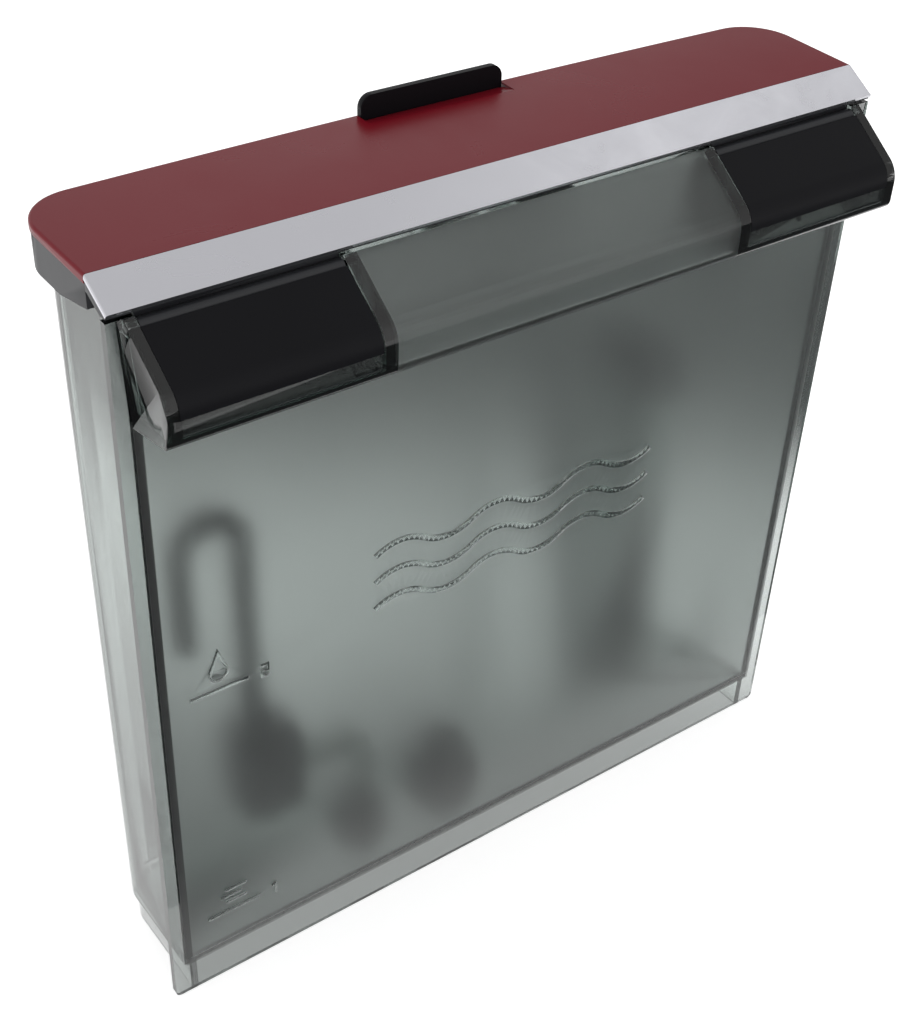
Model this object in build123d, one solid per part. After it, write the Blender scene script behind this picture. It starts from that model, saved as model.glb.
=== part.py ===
from build123d import *
import math
import os

# Removable water tank of a small coffee machine: clear box, satin front panel with a beak, hinged lid,
# outlet and return valves in the floor, an anti-siphon return tube and a float.
#
# Sizes are millimetres. In the functions below x is 0 at the middle, y is 0 at the panel's front face and
# grows to the rear, and z is 0 at the foot. save() moves everything so that the part's origin is the middle
# of its footprint.

os.makedirs("parts", exist_ok=True)

# Envelope
PANEL_WIDTH = 204.0
PANEL_HEIGHT = 199.5
PANEL_WALL = 2.0
BEAK_REACH = 15.6
LID_REACH = 42.5
ORIGIN_Y = (LID_REACH - BEAK_REACH) / 2

# Tank box
BOX_WIDTH = 197.2
BOX_WALL = 2.4
BOX_REAR_FOOT = 37.6
BOX_REAR_TOP = 39.0
BOX_CORNER = 10.0
FLOOR_UNDER = 9.6
FLOOR_TOP = 12.4
SKIRT_INSET = 1.3
SKIRT_WALL = 2.0

# Rail recess in the rear wall
RECESS_X = (14.3, 46.8)
RECESS_Y = 33.5
RECESS_TOP = 185.0

# Beak
BEAK_UNDER_REAR = 175.3
BEAK_UNDER_FRONT = 178.4
BEAK_SHOULDER = 188.7
BEAK_SHOULDER_R = 6.5
BEAK_LIP_R = 2.8
BEAK_MIDDLE = 47.0
INNER_CHEEK = 3.3
OUTER_CHEEK = 2.6
STRIP_TOP = 184.7
CAP_WALL = 1.8
CAP_GAP = 0.1
CAP_TOP_Y = -2.05
CAP_TONGUES = (54.7, 67.7, 92.0)
CAP_TONGUE_DROP = 2.2
CAP_TONGUE_WIDTH = 0.8

# Level marks, raised from the panel
MARK_HEIGHT = 0.35
MARK_WIDTH = 0.9
MARK_X = (-91.5, -76.5)
LOW_LEVEL = 23.4
FULL_LEVEL = 99.0
WAVE_HALF = 14.0
WAVE_HALVES = 6
WAVE_RISE = 2.2
WAVE_LINE = 1.6
WAVE_HEIGHTS = (103.0, 111.0, 119.0)

# Lid
LID_TOP = 206.3
LID_SKIN = 1.9
LID_CORNER = 12.5
LID_BOW = 1.6
FRAME_INSET = 0.2
FRAME_WALL = 1.5
FRAME_PLATE = 1.8
FRAME_FOOT = 196.0
RIM_GAP = 0.5
TRIM_BOTTOM = (-0.7, 201.6)
TRIM_TOP = (7.6, 206.3)
TRIM_WALL = 0.9
TAB_WIDTH = 39.0
TAB_TOP = 211.0
TAB_FOOT = 199.0

# Hinge under the trim, in notches of the panel's top edge behind the end caps
HINGE_Y = 0.0
HINGE_Z = 197.3
BARREL_R = 1.7
HINGE_PIN_R = 0.9
PIN_PLAY = 0.05
PIN_SEAT = (2.5, 2.0)
PIN_END_GAP = 0.2
BARREL_PLAY = 0.3
NOTCH_PLAY = 0.4
LINK_Y = (1.0, 2.4)
WEDGE_RAISE = 0.35

# Valves. In each dictionary x and y place the valve and the rest are radii: the body through the floor, the
# spigot below it, the seat's passage, the spring's chamber, the poppet's head, the flange and the stem.
VALVE_FOOT = 1.2
SEAT_Z = 10.0
GASKET = 1.0
FLANGE = 2.0
NUT_FOOT = 7.4
NUT_RIM = 2.6
NUT_NOTCH = (1.6, 2.4)
SEAL_GAP = 0.15
SEAL_THICK = 1.2
HEAD_THICK = 1.5
STEM_PLAY = 0.05
OUTLET = dict(
    x=-7.0, y=19.0, body=8.0, thread=7.5, spigot=7.0, seat=5.0, chamber=6.3, head=5.8, flange=11.0, stem=1.8
)
RETURN = dict(
    x=-35.6, y=18.0, body=5.2, thread=4.9, spigot=4.6, seat=2.9, chamber=4.1, head=3.7, flange=7.2, stem=1.1
)
OUTLET_CAP_FLOOR = 20.5
RETURN_CAP_FLOOR = 17.4

# Return line
TUBE_R = 3.0
TUBE_BORE = 2.0
TUBE_X = (-67.5, -83.5)
TUBE_TOP = 131.0
TUBE_END = 98.0
BLOCK_X = (-72.0, -55.0)
BLOCK_Y = (11.4, 29.3)
BLOCK_Z = (37.5, 61.0)
BLOCK_CORNER = 3.0
BLOCK_RIM = 1.5
BLOCK_WAY = 1.4
BLOCK_NIPPLE = 1.8
SHELF = 3.0
SHELF_INSET = 2.0
SHELF_HOLD = 4.0
ELBOW_R = 3.4
ELBOW_BORE = 2.2
ELBOW_BEND = 8.5
ELBOW_Z = 47.0
ELBOW_RAISE = 1.2

# Float and its guide
GUIDE_X = (57.8, 70.2)
RIB = 1.6
GUIDE_FRONT = 20.0
GUIDE_LIP = 2.2
GUIDE_TOP = 118.0
FLOAT_GAP = 0.3
FLOAT_Z = (12.8, 27.0)
STOP_Z = (116.0, 129.0)


def save(name, shape):
    """Write one sub-part, with the origin moved to the middle of the footprint."""
    export_step(Pos(0, -ORIGIN_Y, 0) * shape, f"parts/{name}.step")


def block(xs, ys, zs):
    """A box between two corners, each given as a pair."""
    middle = Pos((xs[0] + xs[1]) / 2, (ys[0] + ys[1]) / 2, (zs[0] + zs[1]) / 2)
    return middle * Box(xs[1] - xs[0], ys[1] - ys[0], zs[1] - zs[0])


def upright(x, y, radius, z0, z1):
    """A cylinder standing along Z."""
    return Pos(x, y, (z0 + z1) / 2) * Cylinder(radius, z1 - z0)


def ring(x, y, outer, inner, z0, z1):
    """A washer or sleeve standing along Z."""
    return upright(x, y, outer, z0, z1) - upright(x, y, inner, z0 - 1, z1 + 1)


def rod(radius, y, z, x0, x1):
    """A cylinder lying along X."""
    return Pos((x0 + x1) / 2, y, z) * Rot(0, 90, 0) * Cylinder(radius, x1 - x0)


def profile(face, x0, x1):
    """Extrude a face drawn in (y, z) from x0 to x1."""
    return extrude(Plane.YZ.offset(x0) * face, amount=x1 - x0, dir=(1, 0, 0))


def raised(face, z0, z1):
    """Extrude a face drawn in (x, y) from z0 to z1."""
    return extrude(Pos(0, 0, z0) * face, amount=z1 - z0, dir=(0, 0, 1))


def outline(points):
    """A straight-sided face through the points."""
    return make_face(Polyline(*points, close=True))


def mirrored(shape):
    """The same shape on the other side of the middle."""
    return mirror(shape, about=Plane.YZ)


def tub_section(half_width, front, rear, corner):
    """A rectangle with rounded rear corners."""
    corners = [(-half_width, front), (half_width, front), (half_width, rear), (-half_width, rear)]
    face = Polygon(*corners, align=None)
    rear_corners = face.vertices().sort_by(Axis.Y)[-2:]
    return fillet(rear_corners, corner)


def tub(half_width, rears, corner, zs, front=PANEL_WALL):
    """A drafted solid between a lower and an upper tub section."""
    low = Pos(0, 0, zs[0]) * tub_section(half_width, front, rears[0], corner)
    high = Pos(0, 0, zs[1]) * tub_section(half_width, front, rears[1], corner)
    return loft([low.face(), high.face()], ruled=True)


def rear_at(z):
    """How far back the box's outer rear face is at height z."""
    share = (z - FLOOR_UNDER) / (PANEL_HEIGHT - FLOOR_UNDER)
    return BOX_REAR_FOOT + share * (BOX_REAR_TOP - BOX_REAR_FOOT)


def rear_shell():
    """The clear box: drafted walls, floor, foot skirt, rail recess, float guide and block shelf."""
    half = BOX_WIDTH / 2
    body = tub(half, (BOX_REAR_FOOT, BOX_REAR_TOP), BOX_CORNER, (FLOOR_UNDER, PANEL_HEIGHT))
    skirt_half = half - SKIRT_INSET
    skirt_rear = BOX_REAR_FOOT - SKIRT_INSET
    skirt = tub(skirt_half, (skirt_rear, skirt_rear), BOX_CORNER - SKIRT_INSET, (0, FLOOR_UNDER))
    body += skirt - tub(
        skirt_half - SKIRT_WALL,
        (skirt_rear - SKIRT_WALL, skirt_rear - SKIRT_WALL),
        BOX_CORNER - SKIRT_INSET - SKIRT_WALL,
        (0, FLOOR_UNDER),
    )
    inner_corner = BOX_CORNER - BOX_WALL
    inner_rears = (rear_at(FLOOR_TOP) - BOX_WALL, BOX_REAR_TOP - BOX_WALL)
    cavity = tub(half - BOX_WALL, inner_rears, inner_corner, (FLOOR_TOP, PANEL_HEIGHT))
    bulge_x = (RECESS_X[0] - BOX_WALL, RECESS_X[1] + BOX_WALL)
    cavity -= block(bulge_x, (RECESS_Y - BOX_WALL, BOX_REAR_TOP), (0, RECESS_TOP + BOX_WALL))
    body -= cavity
    body -= block(RECESS_X, (RECESS_Y, BOX_REAR_TOP + 1), (-1, RECESS_TOP))
    for x in (GUIDE_X[0], GUIDE_X[1] - RIB):
        body += block((x, x + RIB), (GUIDE_FRONT, rear_at(FLOOR_TOP) - 1), (FLOOR_TOP - 1, GUIDE_TOP))
    for x in (GUIDE_X[0] + RIB, GUIDE_X[1] - RIB - GUIDE_LIP):
        body += block((x, x + GUIDE_LIP), (GUIDE_FRONT, GUIDE_FRONT + RIB), (FLOOR_TOP - 1, GUIDE_TOP))
    shelf_x = (BLOCK_X[0] + SHELF_INSET, BLOCK_X[1] - SHELF_INSET)
    shelf_y = (BLOCK_Y[1] - SHELF_HOLD, rear_at(FLOOR_TOP) - 1)
    body += block(shelf_x, shelf_y, (BLOCK_Z[0] - SHELF, BLOCK_Z[0]))
    for valve in (OUTLET, RETURN):
        body -= upright(valve["x"], valve["y"], valve["body"], FLOOR_UNDER - 1, FLOOR_TOP + 1)
    return body


def beak_face(inset=0.0, rear=PANEL_WALL):
    """The beak's side view: flat underside, lip, upright front, round shoulder and slope up to the lid."""
    under = BEAK_UNDER_REAR - (BEAK_UNDER_FRONT - BEAK_UNDER_REAR) * rear / BEAK_REACH
    slope_top = PANEL_HEIGHT + (PANEL_HEIGHT - BEAK_SHOULDER) * rear / BEAK_REACH
    corners = [
        (rear, under),
        (-BEAK_REACH, BEAK_UNDER_FRONT),
        (-BEAK_REACH, BEAK_SHOULDER),
        (rear, slope_top),
    ]
    face = Polygon(*corners, align=None)
    front = face.vertices().sort_by(Axis.X)[:2].sort_by(Axis.Y)
    face = fillet(front[0], BEAK_LIP_R)
    shoulder = face.vertices().filter_by(lambda v: abs(v.Y - BEAK_SHOULDER) < 0.01 and v.X < 0)
    face = fillet(shoulder, BEAK_SHOULDER_R)
    if inset:
        face = offset(face, amount=-inset, kind=Kind.INTERSECTION)
    return face


def below_lid():
    """The space under the panel's top edge, as wide as the part."""
    half = PANEL_WIDTH / 2
    return block((-half, half), (-BEAK_REACH - 1, BEAK_REACH), (0, PANEL_HEIGHT))


def level_marks():
    """Raised level lines, a drop over the upper one, three ripples over the lower one, and digits."""
    marks = []
    sunk = 0.5
    ys = (-MARK_HEIGHT, sunk)
    half = MARK_WIDTH / 2
    for level in (LOW_LEVEL, FULL_LEVEL):
        marks.append(block(MARK_X, ys, (level - half, level + half)))
    icon_x = sum(MARK_X) / 2
    # Drop: a round bottom with two straight sides that meet at the top.
    drop_r = 2.6
    drop_z = FULL_LEVEL + 5.0
    tip = drop_z + 3.0 * drop_r - 0.6
    touch = math.asin(drop_r / (tip - drop_z))
    side = (drop_r * math.cos(touch), drop_r * math.sin(touch))
    drop = Polygon((0, tip - drop_z), (-side[0], side[1]), (side[0], side[1]), align=None) + Circle(drop_r)
    hollow = offset(drop, amount=-0.7)
    face = drop - hollow
    on_panel = Plane.XZ.offset(-sunk) * Pos(icon_x, drop_z) * face
    marks.append(extrude(on_panel, amount=sunk + MARK_HEIGHT, dir=(0, -1, 0)))
    # Ripples: three short bars stacked over the lower line.
    for row in range(3):
        z = LOW_LEVEL + 3.4 + 2.2 * row
        shift = 0.7 * (-1) ** row
        marks.append(block((icon_x - 3 + shift, icon_x + 3 + shift), ys, (z - 0.4, z + 0.4)))
    # Digit 1 beside the lower line and digit 2 beside the upper one, as raised strokes.
    digit_x = MARK_X[1] + 3.2
    one = [((0.9, 1.7), (-2.0, 2.0)), ((0.2, 0.9), (0.9, 1.6))]
    two = [
        ((0, 2.2), (1.3, 2.0)),
        ((1.5, 2.2), (-0.35, 2.0)),
        ((0, 2.2), (-0.35, 0.35)),
        ((0, 0.7), (-2.0, 0.35)),
        ((0, 2.2), (-2.0, -1.3)),
    ]
    for level, strokes in ((LOW_LEVEL, one), (FULL_LEVEL, two)):
        for xs, zs in strokes:
            marks.append(block((digit_x + xs[0], digit_x + xs[1]), ys, (level + zs[0], level + zs[1])))
    return marks


def wave_line(height):
    """One raised wavy line: round arcs of one radius, alternately up and down, that meet in a tangent."""
    half_chord = WAVE_HALF / 2
    radius = (half_chord**2 + WAVE_RISE**2) / (2 * WAVE_RISE)
    slope = math.asin(half_chord / radius)
    arcs = []
    for reach in (WAVE_LINE / 2, -WAVE_LINE / 2):
        for k in range(WAVE_HALVES):
            x = (k - WAVE_HALVES / 2) * WAVE_HALF
            lean = slope * (-1) ** k
            shift, lift = reach * math.sin(lean), reach * math.cos(lean)
            crest = (x + half_chord, WAVE_RISE * (-1) ** k + reach)
            arcs.append(ThreePointArc((x - shift, lift), crest, (x + WAVE_HALF + shift, lift)))
    left_end = Line(arcs[0] @ 0, arcs[WAVE_HALVES] @ 0)
    right_end = Line(arcs[WAVE_HALVES - 1] @ 1, arcs[-1] @ 1)
    sunk = 0.5
    on_panel = Plane.XZ.offset(-sunk) * Pos(0, height) * make_face([*arcs, left_end, right_end])
    return extrude(on_panel, amount=sunk + MARK_HEIGHT, dir=(0, -1, 0))


def front_panel():
    """The front: a flat plate and the hollow beak, open to the tank in the middle, pocketed at its ends."""
    half = PANEL_WIDTH / 2
    corner = 1.5
    plate = block((-half, half), (0, PANEL_WALL), (0, PANEL_HEIGHT))
    feet = plate.edges().filter_by(Axis.Y).sort_by(Axis.Z)[:2]
    plate = fillet(feet, corner)
    box_half = BOX_WIDTH / 2
    panel = plate + (profile(beak_face(), -box_half, box_half) & below_lid())
    room = beak_face(inset=PANEL_WALL, rear=BEAK_REACH)
    panel -= profile(room, -BEAK_MIDDLE, BEAK_MIDDLE)
    pocket_x = (BEAK_MIDDLE + INNER_CHEEK, box_half - OUTER_CHEEK)
    pocket = profile(room, *pocket_x) & block(pocket_x, (-BEAK_REACH, 0), (0, PANEL_HEIGHT))
    pocket += block(pocket_x, (-BEAK_REACH, 0), (STRIP_TOP, PANEL_HEIGHT + 1))
    pin_x = (pocket_x[0] - PIN_SEAT[0], pocket_x[1] + PIN_SEAT[1])
    pin_room = rod(HINGE_PIN_R + PIN_PLAY, HINGE_Y, HINGE_Z, *pin_x)
    notch_foot = HINGE_Z - BARREL_R - NOTCH_PLAY
    pocket += block(pocket_x, (-1, PANEL_WALL + 1), (notch_foot, PANEL_HEIGHT + 1))
    for end in (pocket, pin_room):
        panel -= end
        panel -= mirrored(end)
    for mark in level_marks() + [wave_line(height) for height in WAVE_HEIGHTS]:
        panel += mark
    return panel


def end_cap():
    """Right-hand black cover over a beak end, with thin tongues that hook behind the clear strip."""
    xs = (BEAK_MIDDLE + INNER_CHEEK + CAP_GAP, BOX_WIDTH / 2 - OUTER_CHEEK - CAP_GAP)
    room = block(xs, (-BEAK_REACH, CAP_TOP_Y), (STRIP_TOP, PANEL_HEIGHT))
    cap = profile(beak_face(), *xs) & room
    cap -= profile(beak_face(inset=CAP_WALL, rear=BEAK_REACH), *xs)
    behind_strip = -BEAK_REACH + PANEL_WALL + CAP_GAP
    tongue_y = (behind_strip, behind_strip + 1.1)
    root_z = (STRIP_TOP + 0.5, STRIP_TOP + 3)
    for x in CAP_TONGUES:
        tongue_x = (x - CAP_TONGUE_WIDTH / 2, x + CAP_TONGUE_WIDTH / 2)
        cap += block(tongue_x, tongue_y, (STRIP_TOP - CAP_TONGUE_DROP, root_z[1]))
        cap += block(tongue_x, (-BEAK_REACH + 1, tongue_y[1]), root_z)
    return cap


def lid_face(inset=0.0):
    """The lid in plan: straight front and sides, bowed rear, round rear corners."""
    half = PANEL_WIDTH / 2 - inset
    front = TRIM_TOP[0] + 0.15
    rear = LID_REACH - inset
    bow = ThreePointArc((half, rear - LID_BOW), (0, rear), (-half, rear - LID_BOW))
    sides = Polyline((-half, rear - LID_BOW), (-half, front), (half, front), (half, rear - LID_BOW))
    face = make_face([bow, *sides.edges()])
    corners = face.vertices().sort_by(Axis.Y)[-2:]
    return fillet(corners, LID_CORNER - inset)


def trim_lower(y):
    """Height of the trim's lower face at y."""
    rise = (TRIM_TOP[1] - TRIM_BOTTOM[1]) / (TRIM_TOP[0] - TRIM_BOTTOM[0])
    drop = TRIM_WALL * math.hypot(1, rise)
    return TRIM_BOTTOM[1] + rise * (y - TRIM_BOTTOM[0]) - drop


def lid_frame():
    """The lid's tray: plate, skirt, locating lip, front wedge, rest pads and two hinge barrels on links."""
    plate_z = (LID_TOP - LID_SKIN - FRAME_PLATE, LID_TOP - LID_SKIN)
    half = PANEL_WIDTH / 2 - FRAME_INSET
    outer = lid_face(FRAME_INSET)
    frame = raised(outer, FRAME_FOOT, plate_z[1])
    inner_half = half - FRAME_WALL
    hollow = raised(lid_face(FRAME_INSET + FRAME_WALL), FRAME_FOOT, plate_z[0])
    hollow += block((-inner_half, inner_half), (0, BEAK_REACH), (FRAME_FOOT, plate_z[0]))
    frame -= hollow
    thin = 0.4
    floor = PANEL_HEIGHT + RIM_GAP
    meet = TRIM_TOP[0]
    wedge = outline(
        [
            (0, floor + WEDGE_RAISE),
            (0, trim_lower(0)),
            (meet, trim_lower(meet)),
            (meet, plate_z[1]),
            (meet + 2, plate_z[1]),
            (meet + 2, plate_z[0]),
            (meet - thin, plate_z[0]),
            (PANEL_WALL + thin, floor),
        ]
    )
    frame += profile(wedge, -half, half)
    mouth = (BOX_WIDTH / 2 - BOX_WALL - 0.8, 6.2, BOX_REAR_TOP - BOX_WALL - 0.6)
    lip_wall = 1.4
    lip_corner = 6.8
    lip_z = (FRAME_FOOT + 1, plate_z[0])
    lip = raised(tub_section(*mouth, lip_corner), *lip_z)
    inside = (mouth[0] - lip_wall, mouth[1] + lip_wall, mouth[2] - lip_wall)
    lip -= raised(tub_section(*inside, lip_corner - lip_wall), *lip_z)
    frame += lip
    taper_end = 20.0
    under_taper = outline(
        [
            (-3, FRAME_FOOT - 1),
            (taper_end, FRAME_FOOT - 1),
            (taper_end, FRAME_FOOT),
            (PANEL_WALL + thin, floor),
            (-3, floor),
        ]
    )
    frame -= profile(under_taper, -half - 1, half + 1)
    pad_y = (BOX_REAR_TOP - BOX_WALL + 0.6, BOX_REAR_TOP - 0.2)
    for x in (-60, 60):
        frame += block((x - 5, x + 5), pad_y, (PANEL_HEIGHT + 0.3, plate_z[0] + 0.5))
    slot = TAB_WIDTH / 2
    frame -= block((-slot, slot), (LID_REACH - FRAME_WALL - FRAME_INSET, LID_REACH), (TAB_FOOT, LID_TOP))
    barrel_x = (BEAK_MIDDLE + INNER_CHEEK + BARREL_PLAY, BOX_WIDTH / 2 - OUTER_CHEEK - BARREL_PLAY)
    barrel = rod(BARREL_R, HINGE_Y, HINGE_Z, *barrel_x)
    barrel += block(barrel_x, LINK_Y, (HINGE_Z, floor + 2 * WEDGE_RAISE))
    barrel -= rod(HINGE_PIN_R, HINGE_Y, HINGE_Z, barrel_x[0] - 1, barrel_x[1] + 1)
    frame += barrel
    frame += mirrored(barrel)
    return frame


def lid_top_panel():
    """The thin red skin, rounded along its edges, slotted for the tab, with a finger scoop ahead of it."""
    skin = raised(lid_face(), LID_TOP - LID_SKIN, LID_TOP)
    edge = 0.7
    rims = skin.edges().group_by(Axis.Z)[-1].sort_by(Axis.Y)[1:]
    skin = fillet(rims, edge)
    slot = TAB_WIDTH / 2 + 0.2
    tab_y = LID_REACH - FRAME_INSET - FRAME_WALL - 0.1
    skin -= block((-slot, slot), (tab_y, LID_REACH + 1), (LID_TOP - 3, LID_TOP + 1))
    scoop_y = 4.6
    scoop_depth = 1.0
    scoop_front = tab_y - scoop_y
    above = LID_TOP + 1
    scoop_rear = LID_TOP - scoop_depth
    scoop = outline([(scoop_front, LID_TOP), (tab_y, scoop_rear), (tab_y, above), (scoop_front, above)])
    return skin - profile(scoop, -slot, slot)


def trim_strip():
    """The bevelled aluminium strip along the lid's front."""
    half = PANEL_WIDTH / 2
    lean = math.atan2(TRIM_TOP[1] - TRIM_BOTTOM[1], TRIM_TOP[0] - TRIM_BOTTOM[0])
    foot_y = TRIM_BOTTOM[0] + TRIM_WALL * math.sin(lean)
    inner = [(TRIM_TOP[0], trim_lower(TRIM_TOP[0])), (foot_y, trim_lower(foot_y))]
    strip = profile(outline([TRIM_BOTTOM, TRIM_TOP, *inner]), -half, half)
    middle_y = (TRIM_BOTTOM[0] + TRIM_TOP[0]) / 2
    middle_z = (TRIM_BOTTOM[1] + TRIM_TOP[1]) / 2
    corners = [strip.edges().sort_by_distance((x, middle_y, middle_z))[0] for x in (-half, half)]
    return fillet(corners, TRIM_WALL * 2 / 3)


def finger_tab():
    """The black tab that stands up behind the lid's rear edge."""
    half = TAB_WIDTH / 2 - 0.05
    rear = LID_REACH - FRAME_INSET
    tab = block((-half, half), (rear - FRAME_WALL, rear), (TAB_FOOT, TAB_TOP))
    corners = tab.edges().filter_by(Axis.Y).sort_by(Axis.Z)[-2:]
    return fillet(corners, 3.0)


def hinge_pin():
    """Right-hand steel pin, pressed through the barrel and turning in both cheeks."""
    inner_end = BEAK_MIDDLE + INNER_CHEEK - PIN_SEAT[0] + PIN_END_GAP
    outer_end = BOX_WIDTH / 2 - OUTER_CHEEK + PIN_SEAT[1] - PIN_END_GAP
    return rod(HINGE_PIN_R, HINGE_Y, HINGE_Z, inner_end, outer_end)


def valve_body(v):
    """Moulded valve body through the floor: spigot below, seat, chamber, flange above and a stem guide."""
    x, y = v["x"], v["y"]
    flange_z = (FLOOR_TOP + GASKET, FLOOR_TOP + GASKET + FLANGE)
    body = upright(x, y, v["spigot"], VALVE_FOOT, NUT_FOOT)
    body += upright(x, y, v["thread"], NUT_FOOT, FLOOR_UNDER)
    body += upright(x, y, v["body"], FLOOR_UNDER, flange_z[0])
    body += upright(x, y, v["flange"], *flange_z)
    body -= upright(x, y, v["seat"], VALVE_FOOT - 1, SEAT_Z)
    body -= upright(x, y, v["chamber"], SEAT_Z, flange_z[1] + 1)
    guide_z = (VALVE_FOOT + 3.5, VALVE_FOOT + 5.5)
    spoke = 1.0
    for turn in range(3):
        arm = Pos(x, y, sum(guide_z) / 2) * Rot(0, 0, 120 * turn)
        body += arm * Pos((v["seat"] + 0.3) / 2, 0, 0) * Box(v["seat"] + 0.3, spoke, guide_z[1] - guide_z[0])
    body += upright(x, y, v["stem"] + 0.9, *guide_z)
    body -= upright(x, y, v["stem"] + STEM_PLAY, guide_z[0] - 1, guide_z[1] + 1)
    return body


def valve_nut(v):
    """Ring nut that draws the valve body down on its gasket, with six wrench notches."""
    outer = v["body"] + NUT_RIM
    nut = ring(v["x"], v["y"], outer, v["thread"], NUT_FOOT, FLOOR_UNDER)
    for turn in range(6):
        around = Pos(v["x"], v["y"], NUT_FOOT) * Rot(0, 0, 60 * turn)
        nut -= around * Pos(outer, 0, 0) * Box(*NUT_NOTCH, 2 * FLOOR_UNDER)
    return nut


def valve_gasket(v):
    """Flat rubber ring under the valve's flange."""
    return ring(v["x"], v["y"], v["flange"] - 0.3, v["body"], FLOOR_TOP, FLOOR_TOP + GASKET)


def poppet(v, top):
    """Stem and head of the valve."""
    head_z = SEAT_Z + SEAL_GAP + SEAL_THICK
    stem = upright(v["x"], v["y"], v["stem"], VALVE_FOOT + 1.5, top)
    return stem + upright(v["x"], v["y"], v["head"], head_z, head_z + HEAD_THICK)


def poppet_seal(v):
    """Rubber washer under the head that closes the seat."""
    return ring(v["x"], v["y"], v["head"] - 0.1, v["stem"], SEAT_Z + SEAL_GAP, SEAT_Z + SEAL_GAP + SEAL_THICK)


def spring(v, cap_floor, radius, wire, turns):
    """Coil spring between the poppet's head and the cap."""
    foot = SEAT_Z + SEAL_GAP + SEAL_THICK + HEAD_THICK
    height = cap_floor - foot - 2 * wire
    path = Helix(pitch=height / turns, height=height, radius=radius)
    section = Plane(origin=path @ 0, z_dir=path % 0) * Circle(wire)
    coil = sweep(section, path=path, is_frenet=True)
    return Pos(v["x"], v["y"], foot + wire) * coil


def outlet_strainer():
    """Conical strainer over the outlet, slotted all round, with a closed boss that guides the stem."""
    v = OUTLET
    foot = FLOOR_TOP + GASKET + FLANGE
    tall = 12.0
    wall = 1.3
    wide = v["flange"] - 0.4
    narrow = 6.6
    cone = Pos(v["x"], v["y"], foot + tall / 2) * Cone(wide, narrow, tall)
    cone -= Pos(v["x"], v["y"], foot + (tall - wall) / 2) * Cone(wide - wall, narrow - wall, tall - wall)
    slots = 12
    for turn in range(slots):
        way = Pos(v["x"], v["y"], foot + tall / 2) * Rot(0, 0, 360 / slots * turn)
        cone -= way * Pos(wide, 0, 0) * Box(wide, 1.6, tall / 2)
    cone += upright(v["x"], v["y"], v["stem"] + 1.6, OUTLET_CAP_FLOOR, foot + tall - wall / 2)
    cone -= upright(v["x"], v["y"], v["stem"] + STEM_PLAY, OUTLET_CAP_FLOOR - 1, foot + tall - wall / 2)
    return cone


def return_nipple():
    """Cap of the return valve, with the nipple that the elbow is pushed over."""
    v = RETURN
    foot = FLOOR_TOP + GASKET + FLANGE
    cap = upright(v["x"], v["y"], v["flange"] - 0.6, foot, RETURN_CAP_FLOOR + 1.2)
    cap -= upright(v["x"], v["y"], v["chamber"], foot - 1, RETURN_CAP_FLOOR)
    cap += ring(v["x"], v["y"], ELBOW_BORE, v["stem"] + 0.3, RETURN_CAP_FLOOR, RETURN_CAP_FLOOR + 8)
    return cap - upright(v["x"], v["y"], v["stem"] + 0.3, RETURN_CAP_FLOOR - 1, RETURN_CAP_FLOOR + 9)


def tube(points, outer, inner, bend):
    """A tube whose centre line runs straight between the points with round bends."""
    path = FilletPolyline(*points, radius=bend)
    across = Plane(origin=path @ 0, z_dir=path % 0)
    return sweep(across * Circle(outer), path=path) - sweep(across * Circle(inner), path=path)


def return_elbow():
    """Moulded silicone elbow from the return valve's nipple to the block's nipple."""
    x, y = RETURN["x"], RETURN["y"]
    foot = RETURN_CAP_FLOOR + ELBOW_RAISE
    points = [(x, y, foot), (x, y, ELBOW_Z), (BLOCK_X[1], y, ELBOW_Z)]
    return tube(points, ELBOW_R, ELBOW_BORE, ELBOW_BEND)


def return_block():
    """Dark block on its shelf: takes the elbow at one side and the return tube from above."""
    y = RETURN["y"]
    body = block(BLOCK_X, BLOCK_Y, BLOCK_Z)
    body = fillet(body.edges().filter_by(Axis.Z), BLOCK_CORNER)
    body = fillet(body.faces().sort_by(Axis.Z)[-1].edges(), BLOCK_RIM)
    body += rod(ELBOW_BORE, y, ELBOW_Z, BLOCK_X[1] - 1, BLOCK_X[1] + BLOCK_NIPPLE)
    body -= rod(BLOCK_WAY, y, ELBOW_Z, TUBE_X[0], BLOCK_X[1] + BLOCK_NIPPLE + 1)
    body -= upright(TUBE_X[0], y, BLOCK_WAY, ELBOW_Z, BLOCK_Z[1])
    return body - upright(TUBE_X[0], y, TUBE_R, ELBOW_Z + 2, BLOCK_Z[1] + 1)


def return_tube():
    """Hooked tube: up past the full level, over and down, so that water cannot siphon back."""
    y = RETURN["y"]
    top = TUBE_TOP
    points = [(TUBE_X[0], y, ELBOW_Z + 2), (TUBE_X[0], y, top), (TUBE_X[1], y, top), (TUBE_X[1], y, TUBE_END)]
    return tube(points, TUBE_R, TUBE_BORE, (TUBE_X[0] - TUBE_X[1]) / 2 - 0.1)


def float_room():
    """The x and y limits of the float between its guide ribs."""
    xs = (GUIDE_X[0] + RIB + FLOAT_GAP, GUIDE_X[1] - RIB - FLOAT_GAP)
    ys = (GUIDE_FRONT + RIB + FLOAT_GAP, rear_at(FLOOR_TOP) - BOX_WALL - 0.6)
    return xs, ys


def magnet():
    """Disc magnet in the float's rear."""
    xs, ys = float_room()
    length = 4.0
    lie = Pos(sum(xs) / 2, ys[1] - length / 2, sum(FLOAT_Z) / 2) * Rot(90, 0, 0)
    return lie * Cylinder(3.0, length)


def float_body():
    """The float: a rounded block with a pocket for its magnet."""
    xs, ys = float_room()
    body = block(xs, ys, FLOAT_Z)
    body = fillet(body.edges().filter_by(Axis.Z), 1.5)
    return body - magnet()


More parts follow.
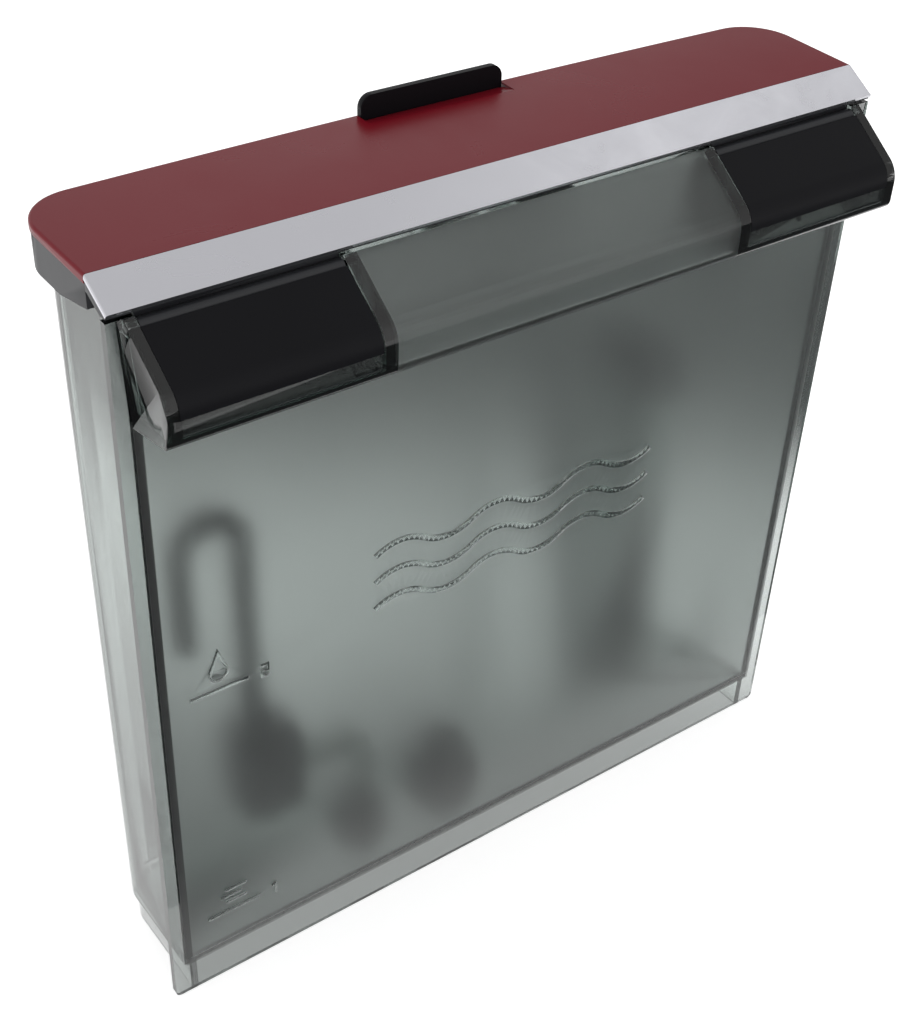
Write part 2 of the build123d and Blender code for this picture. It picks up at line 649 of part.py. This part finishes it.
def float_stop():
    """Dark cap pressed over the guide's top: keeps the float in."""
    outer = 0.9
    xs = (GUIDE_X[0] - outer, GUIDE_X[1] + outer)
    ys = (GUIDE_FRONT - 1.5, rear_at(GUIDE_TOP) - BOX_WALL - 0.3)
    cap = block(xs, ys, STOP_Z)
    cap = fillet(cap.edges().filter_by(Axis.Z), 2.0)
    cap = fillet(cap.faces().sort_by(Axis.Z)[-1].edges(), 1.5)
    rib_y = (GUIDE_FRONT, BOX_REAR_TOP)
    for x in (GUIDE_X[0], GUIDE_X[1] - RIB):
        cap -= block((x, x + RIB), rib_y, (STOP_Z[0] - 1, GUIDE_TOP))
    cap -= block((GUIDE_X[0], GUIDE_X[1]), (GUIDE_FRONT, GUIDE_FRONT + RIB), (STOP_Z[0] - 1, GUIDE_TOP))
    return cap


def build():
    """Make and write every sub-part."""
    save("rear_shell", rear_shell())
    save("front_panel", front_panel())
    cap = end_cap()
    pin = hinge_pin()
    for side, turn in (("right", lambda s: s), ("left", mirrored)):
        save(f"{side}_end_cap", turn(cap))
        save(f"{side}_hinge_pin", turn(pin))
    save("lid_frame", lid_frame())
    save("lid_top_panel", lid_top_panel())
    save("trim_strip", trim_strip())
    save("finger_tab", finger_tab())
    for name, v in (("outlet", OUTLET), ("return", RETURN)):
        save(f"{name}_valve_body", valve_body(v))
        save(f"{name}_valve_nut", valve_nut(v))
        save(f"{name}_valve_gasket", valve_gasket(v))
        save(f"{name}_poppet_seal", poppet_seal(v))
    save("outlet_poppet", poppet(OUTLET, OUTLET_CAP_FLOOR + 2))
    save("return_poppet", poppet(RETURN, RETURN_CAP_FLOOR + 2))
    save("outlet_spring", spring(OUTLET, OUTLET_CAP_FLOOR, 2.9, 0.35, 5))
    save("return_spring", spring(RETURN, RETURN_CAP_FLOOR, 2.2, 0.28, 3))
    save("outlet_strainer", outlet_strainer())
    save("return_nipple", return_nipple())
    save("return_elbow", return_elbow())
    save("return_block", return_block())
    save("return_tube", return_tube())
    save("float_body", float_body())
    save("float_magnet", magnet())
    save("float_stop", float_stop())


build()
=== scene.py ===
import math

import bmesh
import bpy
import numpy as np
from mathutils import Matrix, Vector


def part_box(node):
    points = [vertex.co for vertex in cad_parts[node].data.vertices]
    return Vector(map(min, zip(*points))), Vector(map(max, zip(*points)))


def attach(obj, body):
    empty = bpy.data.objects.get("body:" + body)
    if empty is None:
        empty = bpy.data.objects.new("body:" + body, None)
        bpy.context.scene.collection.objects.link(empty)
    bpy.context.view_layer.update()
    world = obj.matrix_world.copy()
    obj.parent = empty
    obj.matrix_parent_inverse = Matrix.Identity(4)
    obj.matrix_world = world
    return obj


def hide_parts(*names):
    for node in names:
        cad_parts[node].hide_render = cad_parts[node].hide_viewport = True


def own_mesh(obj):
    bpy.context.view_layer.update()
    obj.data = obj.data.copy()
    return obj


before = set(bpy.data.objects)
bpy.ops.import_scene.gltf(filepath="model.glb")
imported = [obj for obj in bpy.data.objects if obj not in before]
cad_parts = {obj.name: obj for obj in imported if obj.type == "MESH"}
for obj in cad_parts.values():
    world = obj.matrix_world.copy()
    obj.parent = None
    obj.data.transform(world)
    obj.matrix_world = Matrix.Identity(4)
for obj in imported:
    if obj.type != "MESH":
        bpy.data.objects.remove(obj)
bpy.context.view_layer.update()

# ---------------------------------------------------------------------------------------------------------
# The studio: a white light table in a white room that is dimmer overhead and to the right, one narrow soft
# box high on the right, and two dark cards that the camera doesn't see: the one behind the tank is a painted
# shadow seen only through the walls, the one in front shows only in reflections. None of it belongs to the
# tank.
shell_low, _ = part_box("rear_shell")
panel_wall = 0.002
panel_face = shell_low.y - panel_wall


def level_sheet(name, material_name, colour, xs, ys, height):
    """A matt sheet lying level between two x and two y limits, and its material's nodes, links and shader."""
    mesh = bpy.data.meshes.new(name)
    corners = [(xs[0], ys[0], height), (xs[1], ys[0], height), (xs[1], ys[1], height), (xs[0], ys[1], height)]
    mesh.from_pydata(corners, [], [(0, 1, 2, 3)])
    sheet = bpy.data.objects.new(name, mesh)
    bpy.context.collection.objects.link(sheet)
    material = bpy.data.materials.new(material_name)
    material.use_nodes = True
    nodes, links = material.node_tree.nodes, material.node_tree.links
    shader = nodes["Principled BSDF"]
    shader.inputs["Base Color"].default_value = (*colour, 1)
    shader.inputs["Roughness"].default_value = 0.9
    mesh.materials.append(material)
    return sheet, nodes, links, shader


def smooth_range(nodes, links, value, lows, highs):
    """A smooth step that takes value from the range lows to the range highs."""
    ramp = nodes.new("ShaderNodeMapRange")
    ramp.interpolation_type = "SMOOTHSTEP"
    ramp.inputs["From Min"].default_value, ramp.inputs["From Max"].default_value = lows
    ramp.inputs["To Min"].default_value, ramp.inputs["To Max"].default_value = highs
    links.new(value, ramp.inputs["Value"])
    return ramp.outputs["Result"]


def light_table():
    """A flat white table top just under the tank's foot, lit a little from below."""
    reach = 3.0
    white = (0.85, 0.85, 0.85)
    table, _, _, shader = level_sheet(
        "light_table", "white_acrylic", white, (-reach, reach), (-reach, reach), -0.0003
    )
    shader.inputs["Specular IOR Level"].default_value = 0.1
    shader.inputs["Emission Color"].default_value = (1, 1, 1, 1)
    shader.inputs["Emission Strength"].default_value = 0.6
    return table


def white_room(low, high, right):
    """A world whose brightness goes from low at the horizon to high overhead, times right towards +X."""
    room = bpy.data.worlds.new("white_room")
    room.use_nodes = True
    nodes, links = room.node_tree.nodes, room.node_tree.links
    coords = nodes.new("ShaderNodeTexCoord")
    split = nodes.new("ShaderNodeSeparateXYZ")
    both = nodes.new("ShaderNodeMath")
    both.operation = "MULTIPLY"
    links.new(coords.outputs["Generated"], split.inputs[0])
    links.new(smooth_range(nodes, links, split.outputs["Z"], (0.45, 0.95), (low, high)), both.inputs[0])
    links.new(smooth_range(nodes, links, split.outputs["X"], (0.5, 0.8), (1.0, right)), both.inputs[1])
    links.new(both.outputs[0], nodes["Background"].inputs["Strength"])
    nodes["Background"].inputs["Color"].default_value = (1, 1, 1, 1)
    return room


def soft_box(name, place, aim, size, watts):
    """A flat oblong lamp at place that points at aim."""
    lamp = bpy.data.lights.new(name, "AREA")
    lamp.shape = "RECTANGLE"
    lamp.size, lamp.size_y = size
    lamp.energy = watts
    holder = bpy.data.objects.new(name, lamp)
    bpy.context.collection.objects.link(holder)
    holder.location = place
    holder.rotation_euler = (Vector(aim) - Vector(place)).to_track_quat("-Z", "Y").to_euler()
    return holder


def shade_card():
    """A painted shadow: a dark card on the table behind the tank, faint close to the foot as a contact
    shadow, gone a little further away, then fading in strongly towards the rear right as the tank's cast
    shadow. Only what is seen through the smoke-grey walls shows it."""
    reach = 0.6
    painted_shadow_grey = (0.04, 0.045, 0.045)
    # The card's grey is painted shadow on the table, not a real sheet lying there.
    card, nodes, links, shader = level_sheet(
        "shade_card", "painted_shadow_matt", painted_shadow_grey, (-reach, reach), (-reach, reach), 0.0001
    )
    card.visible_camera = False
    card.visible_diffuse = False
    card.visible_glossy = False
    card.visible_shadow = False
    coords, away, both = (nodes.new(f"ShaderNode{kind}") for kind in ("TexCoord", "VectorMath", "Math"))
    away.operation = "DOT_PRODUCT"
    away.inputs[1].default_value = (0.5, 0.85, 0)
    links.new(coords.outputs["Object"], away.inputs[0])
    distance_away = away.outputs["Value"]
    links.new(smooth_range(nodes, links, distance_away, (0.0, 0.09), (0.45, 0.0)), both.inputs[0])
    links.new(smooth_range(nodes, links, distance_away, (0.11, 0.215), (0.0, 0.97)), both.inputs[1])
    links.new(both.outputs[0], shader.inputs["Alpha"])
    return card


def front_card():
    """A dark card on the table in front of the tank. Only reflections show it, so the upright faces don't
    mirror the bright table."""
    slate = (0.12, 0.125, 0.13)
    card, _, _, _ = level_sheet("front_card", "dark_board", slate, (-0.8, 0.8), (-0.9, -0.04), 0.0002)
    card.visible_camera = False
    card.visible_diffuse = False
    card.visible_transmission = False
    card.visible_shadow = False
    return card


light_table()
shade_card()
front_card()
bpy.context.scene.world = white_room(1.0, 0.7, 0.5)
soft_box("right_box", (0.90, -0.01, 1.0), (0, 0, 0.2), (0.14, 0.6), 0.16)
bpy.context.scene.view_settings.view_transform = "Standard"

# The camera looks down on the front from its left and is rolled a little.
azimuth, elevation, roll = math.radians(-39.80), math.radians(38.14), math.radians(4.23)
distance = 0.4189
aim = Vector((0, panel_face, 0.102))
outward = math.cos(elevation)
back = Vector((math.sin(azimuth) * outward, -math.cos(azimuth) * outward, math.sin(elevation)))
level = Vector((0, 0, 1)).cross(back).normalized()
upward = back.cross(level)
rolled = level * math.cos(roll) + upward * math.sin(roll)
risen = upward * math.cos(roll) - level * math.sin(roll)
lens = bpy.data.cameras.new("camera")
lens.sensor_width = 36.0
lens.lens = 58.7
lens.shift_x = -0.0515
lens.shift_y = 0.0402
lens.clip_start = 0.01
lens.clip_end = 20.0
camera = bpy.data.objects.new("camera", lens)
bpy.context.collection.objects.link(camera)
turned = Matrix((rolled, risen, back)).transposed().to_4x4()
camera.matrix_world = Matrix.Translation(aim + back * distance) @ turned
bpy.context.scene.camera = camera


# ---------------------------------------------------------------------------------------------------------
# Rear shell: one clear smoke-grey moulding, with drafted walls, floor, foot skirt and float guide. It is
# open at the front, where the panel is welded on.
def piece_of(node, name, body, material, bevel=0.0, turn=30):
    """A copy of a solid: loose triangles merged, curved areas shaded smooth with the large faces kept flat
    and, where asked, the sharp edges rounded."""
    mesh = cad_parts[node].data.copy()
    mesh.name = name
    work = bmesh.new()
    work.from_mesh(mesh)
    bmesh.ops.remove_doubles(work, verts=work.verts, dist=2e-6)
    work.to_mesh(mesh)
    work.free()
    mesh.shade_smooth()
    mesh.set_sharp_from_angle(angle=math.radians(turn))
    mesh.materials.clear()
    mesh.materials.append(material)
    piece = bpy.data.objects.new(name, mesh)
    bpy.context.collection.objects.link(piece)
    if bevel:
        rounding = piece.modifiers.new("rounded_edges", "BEVEL")
        rounding.width = bevel
        rounding.segments = 2
        rounding.limit_method = "ANGLE"
        rounding.angle_limit = math.radians(turn)
    evened = piece.modifiers.new("flat_faces_stay_flat", "WEIGHTED_NORMAL")
    evened.weight = 100
    evened.keep_sharp = not bevel
    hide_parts(node)
    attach(piece, body)
    return piece


def effect_group(name, inputs, outputs):
    """An empty shader node group with a Vector input, the named number inputs and number outputs."""
    group = bpy.data.node_groups.new(name, "ShaderNodeTree")
    group.interface.new_socket("Vector", in_out="INPUT", socket_type="NodeSocketVector")
    for socket in inputs:
        group.interface.new_socket(socket, in_out="INPUT", socket_type="NodeSocketFloat")
    for socket in outputs:
        group.interface.new_socket(socket, in_out="OUTPUT", socket_type="NodeSocketFloat")
    return group, group.nodes.new("NodeGroupInput"), group.nodes.new("NodeGroupOutput")


def moulded_grain():
    """Fine even grain, as a height, and a slow drift of tone, as a shade, both from 0 to 1."""
    group, entry, leave = effect_group("moulded_grain", ("Scale",), ("Height", "Shade"))
    fine = group.nodes.new("ShaderNodeTexNoise")
    fine.inputs["Detail"].default_value = 3
    slow = group.nodes.new("ShaderNodeTexNoise")
    slow.inputs["Scale"].default_value = 38
    slow.inputs["Detail"].default_value = 2
    group.links.new(entry.outputs["Vector"], fine.inputs["Vector"])
    group.links.new(entry.outputs["Vector"], slow.inputs["Vector"])
    group.links.new(entry.outputs["Scale"], fine.inputs["Scale"])
    group.links.new(fine.outputs["Fac"], leave.inputs["Height"])
    group.links.new(slow.outputs["Fac"], leave.inputs["Shade"])
    return group


def handling_marks():
    """Soft patches where hands and cloths have changed the gloss, from 0 to 1."""
    group, entry, leave = effect_group("handling_marks", ("Scale",), ("Mask",))
    patches = group.nodes.new("ShaderNodeTexNoise")
    patches.inputs["Detail"].default_value = 5
    patches.inputs["Roughness"].default_value = 0.62
    patches.inputs["Distortion"].default_value = 0.6
    spread = group.nodes.new("ShaderNodeMapRange")
    spread.inputs["From Min"].default_value = 0.35
    spread.inputs["From Max"].default_value = 0.7
    group.links.new(entry.outputs["Vector"], patches.inputs["Vector"])
    group.links.new(entry.outputs["Scale"], patches.inputs["Scale"])
    group.links.new(patches.outputs["Fac"], spread.inputs["Value"])
    group.links.new(spread.outputs["Result"], leave.inputs["Mask"])
    return group


grain_group, marks_group = moulded_grain(), handling_marks()


def finish(
    name, colour, roughness, spread, shade, grain, depth, metallic=0.0, gloss=0.5, clear=0.0, bend=1.5
):
    """A material with one Principled shader. Its colour drifts by shade, its roughness by spread, and a fine
    grain of the given depth in metres feeds the bump."""
    material = bpy.data.materials.new(name)
    material.use_nodes = True
    nodes, links = material.node_tree.nodes, material.node_tree.links
    shader = nodes["Principled BSDF"]
    shader.inputs["Metallic"].default_value = metallic
    shader.inputs["Specular IOR Level"].default_value = gloss
    shader.inputs["Transmission Weight"].default_value = clear
    shader.inputs["IOR"].default_value = bend
    coords = nodes.new("ShaderNodeTexCoord")
    grains, marks = nodes.new("ShaderNodeGroup"), nodes.new("ShaderNodeGroup")
    grains.node_tree, marks.node_tree = grain_group, marks_group
    grains.inputs["Scale"].default_value = grain
    marks.inputs["Scale"].default_value = 45
    links.new(coords.outputs["Object"], grains.inputs["Vector"])
    links.new(coords.outputs["Object"], marks.inputs["Vector"])
    tone = nodes.new("ShaderNodeMix")
    tone.data_type = "RGBA"
    tone.inputs["A"].default_value = (*(c * (1 - shade) for c in colour), 1)
    tone.inputs["B"].default_value = (*(min(c * (1 + shade), 1.0) for c in colour), 1)
    links.new(grains.outputs["Shade"], tone.inputs["Factor"])
    links.new(tone.outputs["Result"], shader.inputs["Base Color"])
    gloss_range = nodes.new("ShaderNodeMapRange")
    gloss_range.inputs["To Min"].default_value = roughness - spread / 2
    gloss_range.inputs["To Max"].default_value = roughness + spread / 2
    links.new(marks.outputs["Mask"], gloss_range.inputs["Value"])
    links.new(gloss_range.outputs["Result"], shader.inputs["Roughness"])
    bump = nodes.new("ShaderNodeBump")
    bump.inputs["Distance"].default_value = depth
    links.new(grains.outputs["Height"], bump.inputs["Height"])
    links.new(bump.outputs["Normal"], shader.inputs["Normal"])
    return material


def smoke_tint(material, density):
    """Smoke-grey plastic takes light away along its depth, so thick and edge-on parts look dark."""
    nodes, links = material.node_tree.nodes, material.node_tree.links
    absorb = nodes.new("ShaderNodeVolumeAbsorption")
    absorb.inputs["Color"].default_value = (0.05, 0.15, 0.117, 1)
    absorb.inputs["Density"].default_value = density
    links.new(absorb.outputs["Volume"], nodes["Material Output"].inputs["Volume"])


smoke_plastic = (0.97, 0.98, 0.975)
clear_smoke = finish("clear_smoke", smoke_plastic, 0.03, 0.03, 0.01, 300.0, 4e-6, clear=1.0, bend=1.57)
smoke_tint(clear_smoke, 200)
shell = piece_of("rear_shell", "tank_shell", "tank", clear_smoke)


def drawn_back(piece, plane, by):
    """Move the vertices that lie on the plane y = plane to the rear by a hair, as at a weld's open joint."""
    places = np.empty(len(piece.data.vertices) * 3)
    piece.data.vertices.foreach_get("co", places)
    places = places.reshape(-1, 3)
    places[np.abs(places[:, 1] - plane) < 2e-6, 1] += by
    piece.data.vertices.foreach_set("co", places.ravel())


drawn_back(shell, shell_low.y, 4e-5)

# ---------------------------------------------------------------------------------------------------------
# Front panel: the same smoke-grey plastic, with a fine satin texture on its front inside the box's outline.
# Its edges outside the box, the beak's end strips and the raised marks are left polished.
satin_smoke = finish("satin_smoke", smoke_plastic, 0.04, 0.03, 0.01, 2500.0, 3e-6, clear=1.0, bend=1.57)
smoke_tint(satin_smoke, 195)
nodes, links = satin_smoke.node_tree.nodes, satin_smoke.node_tree.links
satin = nodes["Principled BSDF"]


def worked_out(kind, a, b=0.0):
    """A Math node of that kind between two sockets or numbers."""
    node = nodes.new("ShaderNodeMath")
    node.operation = kind
    for socket, value in zip(node.inputs, (a, b)):
        if isinstance(value, (int, float)):
            socket.default_value = value
        else:
            links.new(value, socket)
    return node.outputs[0]


def both(a, b):
    """Where two masks overlap."""
    return worked_out("MULTIPLY", a, b)


def either(a, b):
    """Where either of two masks is."""
    return worked_out("MAXIMUM", a, b)


def between(value, low, high):
    """A mask of the places where value lies between two limits."""
    return both(worked_out("GREATER_THAN", value, low), worked_out("LESS_THAN", value, high))


place, split = nodes.new("ShaderNodeTexCoord"), nodes.new("ShaderNodeSeparateXYZ")
links.new(place.outputs["Object"], split.inputs[0])
x, y, z = split.outputs
across = worked_out("ABSOLUTE", x)
box_half, floor_top, middle_half, marks_top = 0.0985, 0.0125, 0.0471, 0.150
front = worked_out("LESS_THAN", y, panel_face + 0.0002)
proud = worked_out("LESS_THAN", y, panel_face - 0.0001)
within = both(worked_out("LESS_THAN", across, box_half), worked_out("GREATER_THAN", z, floor_top))
ends = both(worked_out("GREATER_THAN", across, middle_half), proud)
polished = either(ends, both(proud, worked_out("LESS_THAN", z, marks_top)))
frosted = both(both(front, within), worked_out("SUBTRACT", 1.0, polished))
base_gloss = satin.inputs["Roughness"].links[0].from_socket
satin_rise = 0.35
satin_gloss = worked_out("ADD", worked_out("MULTIPLY", frosted, satin_rise), base_gloss)
links.new(satin_gloss, satin.inputs["Roughness"])

# Walls seen edge-on pass hardly any light: the beak's cheeks and lip, and the box's walls and floor behind
# the flange.
cheeks = either(between(across, 0.04705, 0.0501), between(across, 0.0956, 0.0979))
lip = between(z, 0.17, 0.1806)
edges = both(either(cheeks, lip), ends)
wall_edge, floor_under = 0.0984, 0.0101
side_wall = both(between(across, 0.0966, wall_edge), worked_out("GREATER_THAN", z, floor_under))
floor_wall = both(between(z, floor_under, 0.0121), worked_out("LESS_THAN", across, wall_edge))
behind_flange = both(either(side_wall, floor_wall), front)
flange_share = 0.7
edge_on = nodes.new("ShaderNodeMix")
edge_on.data_type = "RGBA"
dark = either(edges, worked_out("MULTIPLY", behind_flange, flange_share))
links.new(dark, edge_on.inputs["Factor"])
links.new(satin.inputs["Base Color"].links[0].from_socket, edge_on.inputs["A"])
edge_on.inputs["B"].default_value = (0.02, 0.022, 0.022, 1)
links.new(edge_on.outputs["Result"], satin.inputs["Base Color"])
piece_of("front_panel", "front_plate", "tank", satin_smoke)

# ---------------------------------------------------------------------------------------------------------
# End caps: black moulded covers over the beak's two ends, with a fine spark-eroded texture. Tongues hold them
# behind the clear strip.
black_plastic = finish("black_plastic", (0.005, 0.005, 0.0065), 0.42, 0.05, 0.1, 5200.0, 9e-6, gloss=0.12)
for side in ("left", "right"):
    piece_of(f"{side}_end_cap", f"{side}_beak_cap", "tank", black_plastic, bevel=0.00025)

# ---------------------------------------------------------------------------------------------------------
# Lid: a dark tray that carries a red lacquered skin, a brushed aluminium strip along the front and a black
# finger tab at the rear. Two steel pins hinge it in the beak.
lid_plastic = finish("lid_plastic", (0.022, 0.023, 0.026), 0.4, 0.06, 0.08, 4200.0, 7e-6, gloss=0.35)
piece_of("lid_frame", "lid_tray", "lid", lid_plastic)
red_lid = finish("red_lid", (0.165, 0.004, 0.011), 0.3, 0.06, 0.03, 900.0, 3e-6, gloss=0.16)
piece_of("lid_top_panel", "lid_skin", "lid", red_lid)
brushed_trim = finish("brushed_trim", (0.64, 0.64, 0.68), 0.26, 0.08, 0.05, 1500.0, 3e-6, metallic=1.0)
piece_of("trim_strip", "lid_trim", "lid", brushed_trim, bevel=0.0002)
piece_of("finger_tab", "lid_tab", "lid", black_plastic, bevel=0.0003)
pin_steel = finish("pin_steel", (0.58, 0.58, 0.57), 0.28, 0.1, 0.05, 3000.0, 2e-6, metallic=1.0)
for side in ("left", "right"):
    piece_of(f"{side}_hinge_pin", f"{side}_lid_pin", "lid", pin_steel)

# ---------------------------------------------------------------------------------------------------------
# The two floor valves. Each has a dark body through the floor with a ring nut and a rubber gasket, and a
# white poppet with a rubber seal that a steel spring holds down. A slotted strainer sits over the outlet.
valve_plastic = finish("valve_plastic", (0.018, 0.02, 0.022), 0.42, 0.06, 0.1, 4200.0, 7e-6)
white_plastic = finish("white_plastic", (0.68, 0.69, 0.67), 0.45, 0.06, 0.04, 4200.0, 6e-6)
seal_rubber = finish("seal_rubber", (0.02, 0.02, 0.021), 0.65, 0.1, 0.1, 3000.0, 1e-5, gloss=0.3)


def inner(node, body, material):
    """A copy of a piece inside the tank."""
    return piece_of(node, f"inner_{node}", body, material)


def floor_valve(name):
    """One valve. Its spring rides with the poppet."""
    inner(f"{name}_valve_body", "tank", valve_plastic)
    inner(f"{name}_valve_nut", "tank", valve_plastic)
    inner(f"{name}_valve_gasket", "tank", seal_rubber)
    inner(f"{name}_poppet", f"{name}_valve", white_plastic)
    inner(f"{name}_poppet_seal", f"{name}_valve", seal_rubber)
    spring = inner(f"{name}_spring", f"{name}_valve", pin_steel)
    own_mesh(spring)


floor_valve("outlet")
inner("outlet_strainer", "tank", valve_plastic)
floor_valve("return")

# ---------------------------------------------------------------------------------------------------------
# Return line: a nipple on the return valve, a translucent silicone elbow, the dark block on its shelf, and
# the smoke-grey hooked tube that stands in it.
silicone = finish("silicone", (0.9, 0.93, 0.91), 0.35, 0.08, 0.03, 1500.0, 5e-6, clear=0.85, bend=1.41)
tube_smoke = finish("return_tube", (0.06, 0.07, 0.07), 0.25, 0.06, 0.05, 1500.0, 3e-6)
inner("return_nipple", "tank", valve_plastic)
inner("return_elbow", "tank", silicone)
inner("return_block", "tank", valve_plastic)
inner("return_tube", "tank", tube_smoke)

# ---------------------------------------------------------------------------------------------------------
# Float: a milky block with a ferrite magnet in its rear, sliding between the guide's ribs under a dark stop
# pressed over their tops.
natural_plastic = finish(
    "natural_plastic", (0.9, 0.92, 0.9), 0.35, 0.08, 0.03, 3000.0, 4e-6, clear=0.8, bend=1.45
)
magnet = finish("magnet", (0.07, 0.07, 0.075), 0.55, 0.1, 0.15, 2500.0, 1e-5)
inner("float_body", "float", natural_plastic)
inner("float_magnet", "float", magnet)
inner("float_stop", "tank", valve_plastic)
